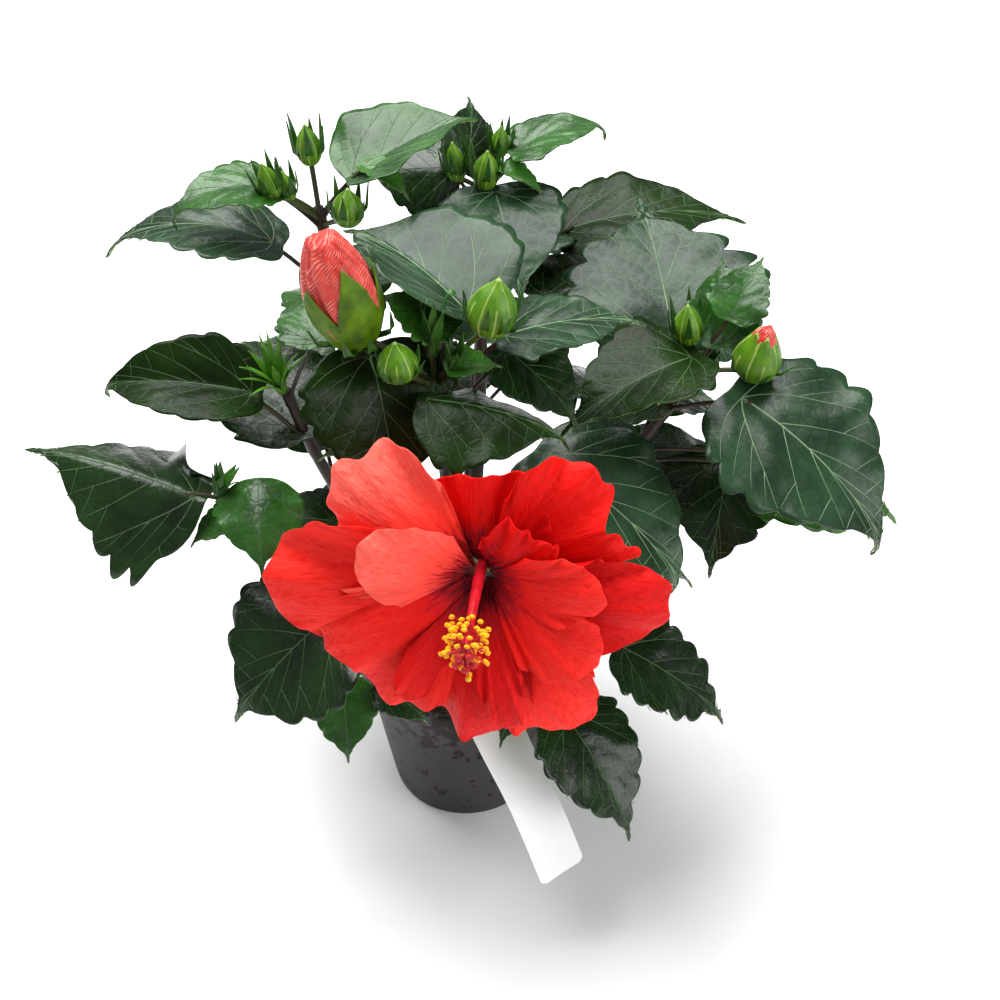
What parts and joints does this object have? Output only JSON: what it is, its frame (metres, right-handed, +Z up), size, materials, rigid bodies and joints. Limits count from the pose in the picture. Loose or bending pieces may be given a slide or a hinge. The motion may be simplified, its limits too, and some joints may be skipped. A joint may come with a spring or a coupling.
{
  "type": "potted hibiscus shrub",
  "caption": "Potted flowering shrub with a large ruffled double bloom, buds and broad toothed leaves on a short forked trunk, in a plain tapered nursery pot.",
  "frame": {"origin": "centre of the pot's flat underside, where the plant stands", "axes": "+Z up through the trunk, -Y towards the side that the large bloom faces, +X to the right as the bloom is looked at"},
  "size_m": [0.3744, 0.3104, 0.334],
  "materials": {
    "pot_plastic": "dark grey thin moulded plastic, satin",
    "potting_soil": "moist peat crumbs",
    "label_plastic": "blank white card of thin plastic",
    "bark": "dark brown young bark",
    "leaf": "glossy dark green with pale veins",
    "petal": "soft coral red with darker veins"
  },
  "bodies": {
    "root": {"pot": "pot_plastic", "soil": "potting_soil", "label": "label_plastic", "trunk": "bark", "bough_centre": "bark", "bough_top_left": "bark", "bough_top_right": "bark", "bough_right": "bark", "bough_left": "bark", "bough_low_left": "bark", "bough_front": "bark", "bough_skirt_left": "bark", "bough_skirt_right": "bark", "bough_back": "bark", "bough_back_left": "bark", "bough_back_right": "bark", "bough_skirt_back_left": "bark", "bough_skirt_back_right": "bark", "bloom": "petal", "foliage_centre": "leaf", "foliage_top_left": "leaf", "foliage_top_right": "leaf", "foliage_right": "leaf", "foliage_left": "leaf", "foliage_low_left": "leaf", "foliage_front": "leaf", "foliage_skirt_left": "leaf", "foliage_skirt_right": "leaf", "foliage_back": "leaf", "foliage_back_left": "leaf", "foliage_back_right": "leaf", "foliage_skirt_back_left": "leaf", "foliage_skirt_back_right": "leaf"}
  },
  "joints": []
}
